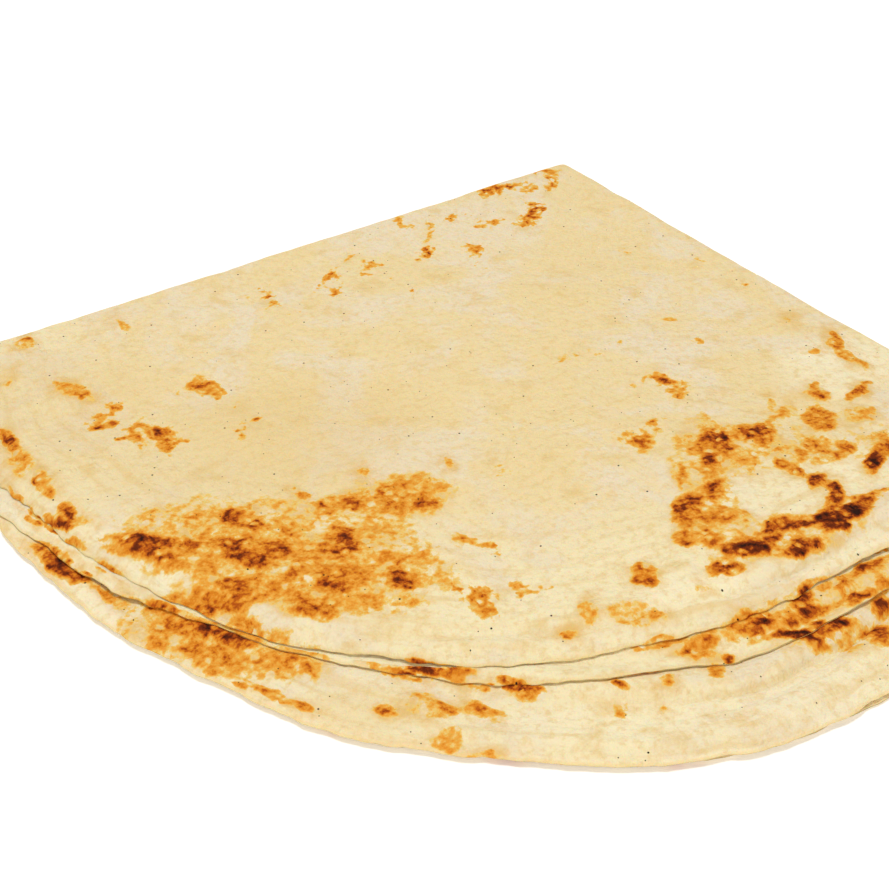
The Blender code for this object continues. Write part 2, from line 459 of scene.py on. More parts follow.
RIGHT_SCORCHES = (
    Scorch(786, 537, 72, 20, -13, 0.36),
    Scorch(704, 482, 30, 60, 0, 0.34),
    Scorch(738, 450, 46, 24, 0, 0.34),
    Scorch(822, 432, 62, 30, 0, 0.22),
    Scorch(793, 321, 5, 4, 0, 0.34),
    Scorch(833, 343, 8, 5, 20, 0.58),
    Scorch(849, 358, 18, 4, 33, 0.56),
    Scorch(818, 352, 6, 3, 0, 0.50),
    Scorch(816, 394, 10, 6, 20, 0.68),
    Scorch(859, 392, 13, 5, -20, 0.54),
    Scorch(863, 412, 15, 7, 5, 0.62),
    Scorch(822, 421, 13, 8, 25, 0.68),
    Scorch(770, 414, 6, 12, 0, 0.54),
    Scorch(786, 412, 9, 5, 0, 0.46),
    Scorch(752, 435, 19, 9, 5, 0.74),
    Scorch(768, 440, 9, 8, 0, 0.52),
    Scorch(713, 446, 16, 18, 0, 0.86),
    Scorch(746, 457, 24, 4, -5, 0.48),
    Scorch(712, 488, 11, 16, 0, 0.64),
    Scorch(724, 518, 26, 6, 3, 0.66),
    Scorch(700, 536, 18, 10, 0, 0.68),
    Scorch(688, 506, 16, 16, 0, 0.80),
    Scorch(790, 466, 16, 5, 30, 0.68),
    Scorch(821, 442, 16, 5, -12, 0.54),
    Scorch(798, 456, 9, 5, 30, 0.56),
    Scorch(822, 454, 11, 5, 0, 0.52),
    Scorch(843, 445, 7, 4, 0, 0.76),
    Scorch(835, 452, 5, 5, 0, 0.70),
    Scorch(818, 479, 8, 8, 40, 1.00),
    Scorch(833, 493, 9, 13, 0, 0.90),
    Scorch(829, 520, 15, 12, 0, 1.00),
    Scorch(874, 457, 8, 14, 20, 0.98),
    Scorch(884, 442, 10, 9, 0, 0.80),
    Scorch(851, 512, 17, 8, -20, 1.14),
    Scorch(867, 504, 12, 7, -15, 0.86),
    Scorch(868, 494, 18, 3, -8, 0.80),
    Scorch(846, 528, 11, 5, -15, 0.96),
    Scorch(780, 528, 16, 7, -12, 0.88),
    Scorch(803, 526, 18, 5, 0, 0.86),
    Scorch(728, 547, 11, 6, 0, 1.00),
    Scorch(746, 549, 17, 7, -8, 1.06),
    Scorch(768, 541, 15, 4, -20, 0.94),
    Scorch(770, 553, 21, 5, -10, 0.76),
    Scorch(797, 547, 21, 6, -18, 0.86),
    Scorch(713, 571, 8, 7, 0, 0.80),
    Scorch(730, 572, 16, 5, 0, 0.80),
    Scorch(704, 588, 6, 4, 0, 0.44),
    Scorch(644, 577, 14, 10, 15, 0.78),
    # This one is painted shade where a roll, which is not in the scene, shaded the sheet
    Scorch(590, 614, 11, 12, 0, 0.56),
    Scorch(568, 634, 7, 4, 0, 0.60),
    Scorch(636, 613, 24, 10, 10, 0.36),
    Scorch(655, 614, 5, 4, 0, 0.62),
)
RIGHT_RIM_SCORCHES = (
    # The next two are painted golden shade rather than heat, in the gaps under the rims above
    Scorch(800, 607, 100, 17, -22, 0.34),
    Scorch(840, 632, 60, 15, -14, 0.30),
    Scorch(842, 584, 6, 8, 50, 0.80),
    Scorch(805, 596, 10, 8, 40, 0.86),
    Scorch(858, 595, 14, 4, 0, 0.90),
    # This one is partly browning and partly painted shadow, in the gap under the top layer's lifted rim
    Scorch(873, 564, 18, 5, -30, 0.90),
    Scorch(881, 588, 13, 4, -15, 0.80),
    Scorch(755, 623, 23, 10, -5, 0.90),
    Scorch(787, 617, 15, 8, 0, 0.64),
    Scorch(810, 606, 13, 7, 40, 0.84),
    Scorch(703, 643, 13, 8, -30, 0.72),
    Scorch(696, 655, 16, 5, 0, 0.66),
    # This one is painted golden shade rather than heat
    Scorch(661, 644, 24, 5, -12, 0.46),
    Scorch(831, 606, 11, 4, -10, 0.80),
    Scorch(791, 636, 19, 4, -10, 1.00),
    Scorch(835, 625, 21, 5, -3, 0.86),
    Scorch(814, 642, 6, 5, 0, 0.80),
    Scorch(850, 642, 9, 9, 0, 0.48),
    Scorch(883, 611, 11, 9, 0, 1.00),
    Scorch(880, 638, 13, 7, 0, 0.90),
    Scorch(728, 658, 7, 4, 0, 0.78),
    Scorch(715, 671, 10, 6, 35, 0.70),
    Scorch(619, 687, 10, 4, 5, 0.68),
    Scorch(665, 680, 7, 4, 0, 0.46),
)
FRONT_RIM_SCORCHES = (
    Scorch(375, 664, 7, 4, 0, 0.84),
    Scorch(396, 672, 17, 4, 15, 0.80),
    Scorch(414, 664, 8, 6, 0, 0.90),
    Scorch(440, 671, 25, 6, 8, 0.96),
    Scorch(453, 677, 11, 5, 30, 0.84),
    Scorch(512, 684, 13, 5, 10, 0.80),
    Scorch(521, 690, 13, 6, 25, 0.86),
    Scorch(539, 691, 7, 3, -15, 0.88),
    Scorch(429, 680, 9, 4, 0, 0.44),
    Scorch(479, 686, 10, 4, 0, 0.46),
    Scorch(425, 699, 9, 5, 15, 0.70),
    Scorch(438, 712, 11, 7, 0, 0.58),
    Scorch(412, 707, 7, 6, 0, 0.40),
    Scorch(478, 704, 9, 5, 10, 0.70),
    Scorch(490, 716, 11, 7, 0, 0.58),
    Scorch(464, 712, 7, 6, 0, 0.36),
    Scorch(384, 713, 10, 4, 10, 0.80),
    Scorch(447, 740, 13, 8, 0, 0.46),
    Scorch(481, 756, 13, 4, 0, 0.38),
    Scorch(617, 712, 9, 7, 0, 0.38),
    Scorch(664, 708, 6, 5, 0, 0.36),
)
SCORCHES = (
    LEFT_SCORCHES
    + FRONT_SCORCHES
    + LEFT_RIM_SCORCHES
    + RIGHT_SCORCHES
    + RIGHT_RIM_SCORCHES
    + FRONT_RIM_SCORCHES
)
# Where the dough is paler than round about, in the same frame: the last value is how much, or how much
# darker it is made where it is negative
Pale = namedtuple("Pale", "x y length width turn share")
PALE_PLACES = (
    Pale(840, 365, 60, 26, 0, 0.9),
    Pale(765, 498, 50, 30, 0, 0.5),
    Pale(846, 470, 30, 13, -8, 0.9),
    Pale(700, 590, 60, 14, -10, 0.8),
    Pale(840, 560, 60, 9, -30, 0.8),
    Pale(826, 593, 13, 10, 0, 1.0),
    Pale(724, 642, 13, 7, 0, 0.9),
    Pale(620, 720, 190, 22, -3, 0.6),
    Pale(820, 690, 80, 24, -16, 0.7),
    Pale(155, 577, 32, 12, 8, 0.8),
    Pale(104, 538, 16, 8, 0, 0.8),
    Pale(75, 556, 86, 9, 36, 0.9),
    Pale(84, 600, 66, 7, 38, 0.7),
    Pale(850, 718, 60, 10, -26, 1.0),
    Pale(700, 760, 60, 6, -8, 1.0),
    Pale(50, 420, 120, 70, 0, -0.6),
    Pale(240, 450, 170, 60, -10, -0.6),
    Pale(400, 722, 110, 22, 9, -0.5),
)
# How raggedly the patches are outlined: the length of the waves on the sheet, and their size in pixels
# across the photograph, with the share of that size that they have up and down it
RAGGED_PATCH = ((0.014, 9.0), (0.006, 5.0))
RAGGED_UP = 0.6
# How far out the heat and the paleness reach, where 1 is the outline of their ellipse
SCORCH_REACH = 1.75
PALE_REACH = 1.6
# How far the dough round a patch is golden, in pixels, and how golden for each unit of its heat
HALO_REACH = 14
HALO_SHARE = 2
# Where the photograph doesn't show the top, as bands from one point to another in its frame, in pixels
Unseen = namedtuple("Unseen", "x y end_x end_y reach")
UNSEEN = (
    Unseen(125, 452, 575, 130, 72),
    Unseen(508, 560, 738, 180, 78),
)
UNSEEN_FADE = 25


def camera_axes():
    """The camera's right, up and forward directions."""
    heading, down = math.radians(CAMERA_HEADING), math.radians(CAMERA_DOWN)
    ahead = np.array((-math.sin(heading), math.cos(heading), 0.0))
    right = np.array((math.cos(heading), math.sin(heading), 0.0))
    above = np.array((0.0, 0.0, 1.0))
    up = ahead * math.sin(down) + above * math.cos(down)
    return right, up, ahead * math.cos(down) - above * math.sin(down)


def photo_place(points):
    """Where points show in the photograph's frame, in pixels."""
    right, up, forward = camera_axes()
    seen = points - CAMERA_PLACE
    depth = seen @ forward
    across, rise = FOCAL_LENGTH * (seen @ right) / depth, FOCAL_LENGTH * (seen @ up) / depth
    return FRAME_SIZE / 2 + across, FRAME_SIZE / 2 - rise


def ragged_place(points, u, v):
    """Where points show in the photograph's frame, shifted so that what is drawn there is ragged."""
    x, y = photo_place(points)
    for wavelength, size in RAGGED_PATCH:
        x = x + size * HEAT_NOISE.at(u, v, wavelength)
        y = y + RAGGED_UP * size * HEAT_NOISE.at(v, u, wavelength)
    return x, y


def share_away(ellipse, x, y):
    """How far (x, y) is from the middle of an ellipse, as a share of the way to its outline."""
    turn = math.radians(ellipse.turn)
    along = ((x - ellipse.x) * math.cos(turn) + (y - ellipse.y) * math.sin(turn)) / ellipse.length
    across = ((y - ellipse.y) * math.cos(turn) - (x - ellipse.x) * math.sin(turn)) / ellipse.width
    return np.hypot(along, across)


def paled(points, u, v):
    """How pale the dough is at points of the shown side."""
    x, y = ragged_place(points, u, v)
    shares = [pale.share * smooth(PALE_REACH - share_away(pale, x, y)) for pale in PALE_PLACES]
    return np.max(shares, axis=0) + np.min(shares, axis=0)


def scorched(points, u, v):
    """The heat that shown points took, with a few rows of painted shade among it, at (u, v) on the flat
    sheet, and how near to it they lie.
    """
    x, y = ragged_place(points, u, v)
    heat, halo = np.zeros_like(x), np.zeros_like(x)
    for scorch in SCORCHES:
        away = share_away(scorch, x, y)
        heat = np.maximum(heat, scorch.heat * smooth(SCORCH_REACH - away))
        past = (away - 1) * math.sqrt(scorch.length * scorch.width)
        halo = np.maximum(halo, min(HALO_SHARE * scorch.heat, 1) * smooth(1 - past / HALO_REACH))
    return heat, halo


def unseen(points):
    """1 where the photograph doesn't show a point that faces up, and 0 where it does."""
    x, y = photo_place(points)
    outside = np.maximum(np.maximum(-x, x - FRAME_SIZE), np.maximum(-y, y - FRAME_SIZE))
    share = smooth(outside / UNSEEN_FADE)
    for band in UNSEEN:
        run_x, run_y = band.end_x - band.x, band.end_y - band.y
        along = np.clip(((x - band.x) * run_x + (y - band.y) * run_y) / (run_x**2 + run_y**2), 0.0, 1.0)
        away = np.hypot(x - band.x - along * run_x, y - band.y - along * run_y)
        share = np.maximum(share, smooth((band.reach - away) / UNSEEN_FADE))
    return share


def relief(u, v, inside, past_next_rim, heat):
    """How far the surface stands out of the even sheet: its waves end where the next rim rests on it."""
    waves = sum(height * BLISTER_NOISE.layered(u, v, length, octaves=2) for length, height in SURFACE_WAVES)
    waves = waves * smooth(past_next_rim / SURFACE_WAVES_START)
    blisters = 1 - np.abs(BLISTER_NOISE.layered(v, u, BLISTER_LENGTH, octaves=2)) * BLISTER_STEEPNESS
    blisters = BLISTER_HEIGHT * np.clip(heat, 0.0, 1.0) * np.clip(blisters, 0.0, 1.0)
    bead = BEAD_HEIGHT * np.exp(-(((inside - BEAD_INSIDE) / BEAD_WIDTH) ** 2))
    return waves + blisters + bead * (1 + SWELL_NOISE.at(u, v, BEAD_WAVE_LENGTH))


def fold_wave(along, away, row):
    """How far the sheet shifts near a fold edge, so that the edge isn't quite straight."""
    near = smooth(1 - away / FOLD_WAVE_REACH)
    return FOLD_WAVE * near * SWELL_NOISE.layered(along, row, FOLD_WAVE_LENGTH)


class Sheet:
    """The folded sheet as a grid: its middle surface, its normals, and what the material needs to know."""

    def __init__(self):
        top, covered = side_lines(TOP_SPACING), side_lines(COVERED_SPACING)
        columns = np.concatenate((-top[::-1], [0.0], covered))
        rows = np.concatenate((-covered[::-1], [0.0], top))
        s, t = np.meshgrid(columns, rows, indexing="ij")
        disc_x, disc_y = s * np.sqrt(1 - t * t / 2), t * np.sqrt(1 - s * s / 2)
        rim = sheet_rim_radius(np.arctan2(disc_y, disc_x))
        self.u, self.v = disc_x * rim, disc_y * rim
        self.inside = np.clip(rim * (1 - np.hypot(disc_x, disc_y)), 0.0, None)
        under, over = np.where(self.v >= 0, BOTTOM, LOWER), np.where(self.v < 0, UPPER, TOP)
        self.layer = np.where(self.u >= 0, under, over)
        self.fold()
        self.past_next_rim = self.measure_past_next_rim()

    def fold(self):
        """Bends the sheet over its two folds, settles it, and finds its normals."""
        self.y, height = first_fold(self.v)
        self.x, height = second_fold(self.u, height)
        x = self.x + fold_wave(self.y, self.x, RIGHT_EDGE_ROW)
        y = self.y + fold_wave(self.x, self.y, LEFT_EDGE_ROW)
        self.middle = CORNER + x[..., None] * LEFT_SIDE + y[..., None] * RIGHT_SIDE
        self.middle[..., 2] = taper(self.inside) * THICKNESS / 2 + settled_height(self.x, self.y, height)
        normal = np.cross(np.gradient(self.middle, axis=0), np.gradient(self.middle, axis=1))
        self.normal = normal / np.maximum(np.linalg.norm(normal, axis=2, keepdims=True), 1e-12)

    def measure_past_next_rim(self):
        """How far each point lies outside the rim of the next layer up, in metres."""
        past = np.full_like(self.x, GRID_RADIUS)
        for layer, rim_above in ((BOTTOM, LOWER_RIM), (LOWER, UPPER_RIM), (UPPER, TOP_RIM)):
            distance = np.hypot(self.x, self.y) - pad_rim_radius(rim_above, self.x, self.y)
            past = np.where(self.layer == layer, distance, past)
        return past

    def half_thickness(self):
        """Half the sheet's thickness at each point, rounded off at the rim."""
        edge = 1 - np.clip(self.inside / EDGE_ROUND, 0.0, 1.0)
        return THICKNESS / 2 * taper(self.inside) * np.sqrt(np.clip(1 - edge**2, 0.0, 1.0))

    def baked_values(self, place, shown):
        """The values that the photograph sets at the shown points, and where they are guessed instead."""
        values = {name: np.zeros_like(self.u) for name in ("baking_and_shade", "halo", "pale")}
        values["guessed"] = np.ones_like(self.u)
        points, u, v = place[shown], self.u[shown], self.v[shown]
        values["baking_and_shade"][shown], values["halo"][shown] = scorched(points, u, v)
        values["pale"][shown] = paled(points, u, v)
        values["guessed"][shown] = unseen(points)
        return values

    def side(self, number):
        """The values of one face's vertices: face 0 is outside the folds, face 1 inside the first one."""
        direction = (2.0 * number - 1.0) * self.normal
        place = self.middle + direction * self.half_thickness()[..., None]
        shown = (direction[..., 2] > 0) & (self.past_next_rim > -SHOWN_UNDER_RIM)
        on_fold = (np.minimum(np.abs(self.u), np.abs(self.v)) < FOLD_LINE_REACH) & (number == 0)
        values = self.baked_values(place, shown)
        outward = relief(self.u, self.v, self.inside, self.past_next_rim, values["baking_and_shade"])
        outward = outward * shown * smooth(self.inside / RELIEF_RIM_FADE)
        around = np.arctan2(self.v, self.u) * GRID_RADIUS
        face = np.full_like(self.u, FACES_APART * number)
        values["co"] = place + direction * outward[..., None]
        values["sheet_place"] = np.stack((self.u, self.v, face), axis=-1)
        values["rim_place"] = np.stack((around, self.inside, face), axis=-1)
        values["fine"] = (shown | on_fold | (self.inside < SHOWN_FROM_RIM)).astype(float)
        return values


def grid_quads(grid, flip):
    """The four-sided faces between the vertices of a grid, turned over where flip is true."""
    corners = [grid[:-1, :-1], grid[1:, :-1], grid[1:, 1:], grid[:-1, 1:]]
    if flip:
        corners.reverse()
    return np.stack(corners, axis=-1).reshape(-1, 4)


def build_sheet():
    """The values of the sheet's vertices by name, and its faces: its two faces share the rim's vertices."""
    sheet = Sheet()
    first, second = sheet.side(0), sheet.side(1)
    index = np.arange(sheet.u.size).reshape(sheet.u.shape)
    on_rim = np.ones(index.shape, bool)
    on_rim[1:-1, 1:-1] = False
    for name in ("baking_and_shade", "halo", "pale"):
        first[name] = np.where(on_rim, np.maximum(first[name], second[name]), first[name])
    other = np.where(on_rim, index, index + index.size)
    quads = np.concatenate((grid_quads(index, flip=True), grid_quads(other, flip=False)))
    used, quads = np.unique(quads, return_inverse=True)
    values = {}
    for name in first:
        shape = (index.size, *first[name].shape[2:])
        both = np.concatenate((first[name].reshape(shape), second[name].reshape(shape)))
        values[name] = both[used]
    return values, quads.reshape(-1, 4)


def make_mesh(name, vertices, quads):
    """A smooth mesh of four-sided faces."""
    mesh = bpy.data.meshes.new(name)
    mesh.vertices.add(len(vertices))
    mesh.vertices.foreach_set("co", vertices.astype(np.float32).ravel())
    mesh.loops.add(quads.size)
    mesh.loops.foreach_set("vertex_index", quads.astype(np.int32).ravel())
    mesh.polygons.add(len(quads))
    mesh.polygons.foreach_set("loop_start", np.arange(0, quads.size, 4, dtype=np.int32))
    mesh.update(calc_edges=True)
    mesh.validate()
    mesh.shade_smooth()
    return mesh


# The dough's colours, as they show in the photograph: red, green and blue from 0 to 255
FLOURED = (233, 219, 190)
# The field's colour, darker and more golden than the rims', is partly the dough's baked tone and partly
# painted shade
FIELD_DOUGH_AND_SHADE = (235, 214, 164)
RIM_DOUGH = (240, 227, 187)
DEEP_DOUGH = (226, 196, 134)
GOLDEN_DOUGH = (224, 180, 98)
# The edge's tint: partly drier dough, partly painted warm shade on the dim edge
EDGE_DOUGH_AND_SHADE = (237, 210, 150)
PALE_DOUGH = (244, 233, 198)
# How the dough colours as it takes heat: the heat, and the colour that it turns
BAKED = (
    (0.30, (234, 198, 114)),
    (0.42, (232, 174, 76)),
    (0.54, (230, 158, 58)),
    (0.70, (217, 132, 32)),
    (0.86, (180, 86, 20)),
    (1.02, (112, 44, 14)),
    (1.30, (46, 20, 14)),
)
BAKE_START = 0.16
BLACK_FLECK = (40, 26, 20)
# The flecks: the size of a cell, the fleck's reach in metres, and the share of cells that hold one
FLECKS = ((0.016, 0.00042, 0.28), (0.006, 0.00026, 0.10))
# The share of a fleck's reach that is wholly black
FLECK_CORE = 0.6
# The small bubbles in a browned patch: the size of a cell, the share of cells whose top stays pale, how far
# that reaches in cells, how much heat it takes away, and the length and reach of the noise that shifts it
BUBBLE_CELL = 0.0040
BUBBLE_SHARE = 0.40
BUBBLE_REACH = 0.52
BUBBLE_COOLING = 0.55
BUBBLE_WARP_LENGTH = 0.0034
BUBBLE_WARP = 0.0022
# How long the dough's flour, clouds and mottles are, how wide the streaks of painted shade along the rims
# are, and as what share of itself a length along the rims counts in them
FLOUR_LENGTH = 0.045
CLOUD_LENGTH = 0.013
MOTTLE_LENGTH = 0.0028
WRINKLE_SHADE_STREAK_WIDTH = 0.0052
WRINKLE_SHADE_STREAK_SHARE = 0.09
# How far in from the rim the creamier dough starts and is whole, and the same for the edge's tint: drier
# dough and painted warm shade
RIM_DOUGH_ZONE = (0.085, 0.030)
EDGE_DOUGH_AND_SHADE_ZONE = (0.0014, 0.0003)
# The guessed patches: how long their clusters and the patches are, and the heat that they took
CLUSTER_LENGTH = 0.075
GUESSED_LENGTH = 0.021
GUESSED_HEAT = 0.80
# How the heat is broken up by blisters and by grain: their lengths, and how much heat they add and take
HEAT_BLISTER_LENGTH = 0.0095
HEAT_BLISTER_GAIN = 1.9
HEAT_GRAIN_LENGTH = 0.0024
HEAT_GRAIN_GAIN = 1.2
# The finest relief, which is too small for the mesh: the lengths and depths of grain and puckers, and the
# width and depth of the streaks along the rims, with the share of itself that a length along them counts
BUMP_GRAIN_LENGTH = 0.0013
BUMP_GRAIN_DEPTH = 0.00055
BUMP_PUCKER_LENGTH = 0.0055
BUMP_PUCKER_DEPTH = 0.0018
BUMP_STREAK_WIDTH = 0.0060
BUMP_STREAK_DEPTH = 0.0018
BUMP_STREAK_SHARE = 0.14
BUMP_STRENGTH = 0.8
# How the dough takes the light: its subsurface radius is given for red, green and blue
ROUGHNESS = 0.86
SPECULAR_LEVEL = 0.08
SUBSURFACE_WEIGHT = 0.30
SUBSURFACE_RADIUS = (1.0, 0.50, 0.20)
SUBSURFACE_SCALE = 0.0016


def linear(colour):
    """A colour given from 0 to 255 as linear red, green, blue and alpha, by the sRGB curve."""
    shares = [part / 255 for part in colour]
    return (*[part / 12.92 if part <= 0.04045 else ((part + 0.055) / 1.055) ** 2.4 for part in shares], 1.0)


class Nodes:
    """Short calls for the shader nodes that this scene uses, each of which returns its output."""

    def __init__(self, tree):
        self.tree = tree

    def add(self, kind, inputs=(), output=0, **settings):
        """Adds a node with its settings and its inputs, which are constants or other nodes' outputs."""
        node = self.tree.nodes.new(kind)
        for name, value in settings.items():
            setattr(node, name, value)
        for name, value in dict(inputs).items():
            if isinstance(value, bpy.types.NodeSocket):
                self.tree.links.new(value, node.inputs[name])
            else:
                node.inputs[name].default_value = value
        return node.outputs[output]

    def kept(self, name):
        """A number that is kept on the mesh."""
        return self.add("ShaderNodeAttribute", output=2, attribute_name=name)

    def kept_place(self, name):
        """A place that is kept on the mesh."""
        return self.add("ShaderNodeAttribute", output=1, attribute_name=name)

    def math(self, operation, first, second=0.0):
        return self.add("ShaderNodeMath", {0: first, 1: second}, operation=operation)

    def noise(self, place, wavelength, detail, roughness, distortion=0.0):
        """A noise between 0 and 1, whose broadest waves are about this long."""
        inputs = {"Vector": place, "Scale": 1 / wavelength, "Detail": detail, "Roughness": roughness}
        return self.add("ShaderNodeTexNoise", {**inputs, "Distortion": distortion})

    def warped(self, place, wavelength, reach):
        """The place moved about by a noise, so that what is drawn there isn't round or straight."""
        shift = self.add("ShaderNodeTexNoise", {"Vector": place, "Scale": 1 / wavelength}, output=1)
        inputs = {0: shift, 1: (reach,) * 3, 2: place}
        return self.add("ShaderNodeVectorMath", inputs, operation="MULTIPLY_ADD")

    def cells(self, place, size):
        """How far a point is from its random cell's middle, in cells, and a random number of the cell."""
        inputs = {"Vector": place, "Scale": 1 / size, "Randomness": 1.0}
        away = self.add("ShaderNodeTexVoronoi", inputs, voronoi_dimensions="2D")
        own = self.add("ShaderNodeSeparateColor", {"Color": away.node.outputs["Color"]})
        return away, own

    def ramp(self, value, start, full, top=1.0):
        """A soft ramp from 0 where the value is at start to top where it is at full."""
        inputs = {"Value": value, "From Min": start, "From Max": full, "To Max": top}
        return self.add("ShaderNodeMapRange", inputs, interpolation_type="SMOOTHSTEP")

    def mix(self, share, first, second):
        """Colours first and second, with this share of the second."""
        return self.add("ShaderNodeMix", {0: share, 6: first, 7: second}, output=2, data_type="RGBA")


def rim_streaks(nodes, along_rim, share, width):
    """A noise in long streaks: a length along the rims counts in it as this share of itself."""
    place = nodes.add("ShaderNodeVectorMath", {0: along_rim, 1: (share, 1.0, 1.0)}, operation="MULTIPLY")
    return nodes.noise(place, width, detail=3.0, roughness=0.55)


def in_from_rim(nodes, along_rim, zone, top=1.0):
    """0 over the field and top along the rims: zone is where that starts and where it is full."""
    inside = nodes.add("ShaderNodeSeparateXYZ", {"Vector": along_rim}, output=1)
    return nodes.ramp(inside, *zone, top=top)


def dough_colour(nodes, place, along_rim):
    """The unbaked dough: creamy, floured in places, mottled, and golden round the patches, with painted
    shade in part of the field's darker tone, in streaks along the rims and in the edge's tint.
    """
    broad = nodes.noise(place, FLOUR_LENGTH, detail=6.0, roughness=0.66, distortion=0.5)
    clouds = nodes.noise(place, CLOUD_LENGTH, detail=6.0, roughness=0.68, distortion=0.3)
    fine = nodes.noise(place, MOTTLE_LENGTH, detail=3.0, roughness=0.6)
    near_rim = in_from_rim(nodes, along_rim, RIM_DOUGH_ZONE)
    # Streaks of painted shade along the rims, like the shade in long wrinkles
    streaks = rim_streaks(nodes, along_rim, WRINKLE_SHADE_STREAK_SHARE, WRINKLE_SHADE_STREAK_WIDTH)
    streaks = nodes.math("MULTIPLY", nodes.ramp(streaks, start=0.50, full=0.70, top=0.5), near_rim)
    pale = nodes.kept("pale")
    golden = nodes.ramp(clouds, start=0.38, full=0.60, top=0.75)
    golden = nodes.math("MULTIPLY", nodes.kept("halo"), golden)
    # Darker over the field than along the rims: partly the dough's own tone, partly painted shade
    colour = nodes.mix(near_rim, linear(FIELD_DOUGH_AND_SHADE), linear(RIM_DOUGH))
    for share, tint in (
        (nodes.ramp(broad, start=0.46, full=0.60, top=0.9), FLOURED),
        (nodes.ramp(pale, start=0.0, full=1.0, top=0.8), PALE_DOUGH),
        (nodes.ramp(pale, start=0.0, full=-1.0, top=0.6), DEEP_DOUGH),
        (nodes.ramp(clouds, start=0.50, full=0.70, top=0.70), DEEP_DOUGH),
        (nodes.ramp(fine, start=0.48, full=0.68, top=0.50), DEEP_DOUGH),
        (streaks, DEEP_DOUGH),
        (golden, GOLDEN_DOUGH),
        # The edge's tint, partly drier dough and partly painted warm shade
        (in_from_rim(nodes, along_rim, EDGE_DOUGH_AND_SHADE_ZONE, top=0.6), EDGE_DOUGH_AND_SHADE),
    ):
        colour = nodes.mix(share, colour, linear(tint))
    return colour


def guessed_heat(nodes, place):
    """Patches of the same kind where the photograph doesn't show them, in clusters."""
    clusters = nodes.noise(place, CLUSTER_LENGTH, detail=2.0, roughness=0.5)
    patches = nodes.noise(place, GUESSED_LENGTH, detail=4.0, roughness=0.60, distortion=0.3)
    patches = nodes.ramp(patches, start=0.50, full=0.68, top=GUESSED_HEAT)
    heat = nodes.math("MULTIPLY", nodes.ramp(clusters, start=0.40, full=0.56), patches)
    return nodes.math("MULTIPLY", heat, nodes.kept("guessed"))


def uneven(nodes, noise, gain):
    """A noise as gains and losses round zero."""
    return nodes.math("MULTIPLY", nodes.math("SUBTRACT", noise, 0.5), gain)


def heat_field(nodes, place):
    """The heat that each point took, with a few rows of painted shade: the patches, broken up by blisters,
    bubbles and grain.
    """
    heat = nodes.math("MAXIMUM", nodes.kept("baking_and_shade"), guessed_heat(nodes, place))
    blisters = nodes.noise(place, HEAT_BLISTER_LENGTH, detail=4.0, roughness=0.60, distortion=0.25)
    grain = nodes.noise(place, HEAT_GRAIN_LENGTH, detail=3.0, roughness=0.6)
    blisters, grain = uneven(nodes, blisters, HEAT_BLISTER_GAIN), uneven(nodes, grain, HEAT_GRAIN_GAIN)
    broken = nodes.math("ADD", blisters, grain)
    cooled = nodes.math("MULTIPLY", bubble_tops(nodes, place), BUBBLE_COOLING)
    total = nodes.math("SUBTRACT", nodes.math("ADD", heat, broken), cooled)
    return nodes.math("MULTIPLY", total, nodes.ramp(heat, start=0.04, full=0.34))


def bubble_tops(nodes, place):
    """1 on the pale tops of some of the small bubbles, each in a cell of its own."""
    away, cell = nodes.cells(nodes.warped(place, BUBBLE_WARP_LENGTH, BUBBLE_WARP), BUBBLE_CELL)
    shown = nodes.ramp(cell, start=BUBBLE_SHARE, full=0.0)
    return nodes.math("MULTIPLY", nodes.ramp(away, start=BUBBLE_REACH, full=0.0), shown)


def baked_colour(nodes, heat, dough):
    """The dough's colour as the heat browns and then chars it."""
    colour = dough
    start = BAKE_START
    for level, baked in BAKED:
        colour = nodes.mix(nodes.ramp(heat, start, level), colour, linear(baked))
        start = level
    return colour


def flecked(nodes, place, colour):
    """Tiny black flecks of char and bran, each at a random point of its own cell, in some of the cells."""
    for cell_size, reach, share in FLECKS:
        away, cell = nodes.cells(place, cell_size)
        dot = nodes.ramp(away, reach / cell_size, FLECK_CORE * reach / cell_size)
        shown = nodes.math("LESS_THAN", cell, share)
        colour = nodes.mix(nodes.math("MULTIPLY", dot, shown), colour, linear(BLACK_FLECK))
    return colour


def surface_bump(nodes, place, along_rim):
    """The finest relief, which is too small for the mesh: grain, puckers, and streaks along the rims."""
    grain = nodes.noise(place, BUMP_GRAIN_LENGTH, detail=3.0, roughness=0.6)
    puckers = nodes.noise(place, BUMP_PUCKER_LENGTH, detail=4.0, roughness=0.58)
    streaks = rim_streaks(nodes, along_rim, BUMP_STREAK_SHARE, BUMP_STREAK_WIDTH)
    streaks = nodes.math("MULTIPLY", streaks, in_from_rim(nodes, along_rim, RIM_DOUGH_ZONE))
    height = nodes.math("MULTIPLY", grain, BUMP_GRAIN_DEPTH)
    height = nodes.math("ADD", height, nodes.math("MULTIPLY", puckers, BUMP_PUCKER_DEPTH))
    height = nodes.math("ADD", height, nodes.math("MULTIPLY", streaks, BUMP_STREAK_DEPTH))
    return nodes.add("ShaderNodeBump", {"Height": height, "Strength": BUMP_STRENGTH, "Distance": 1.0})


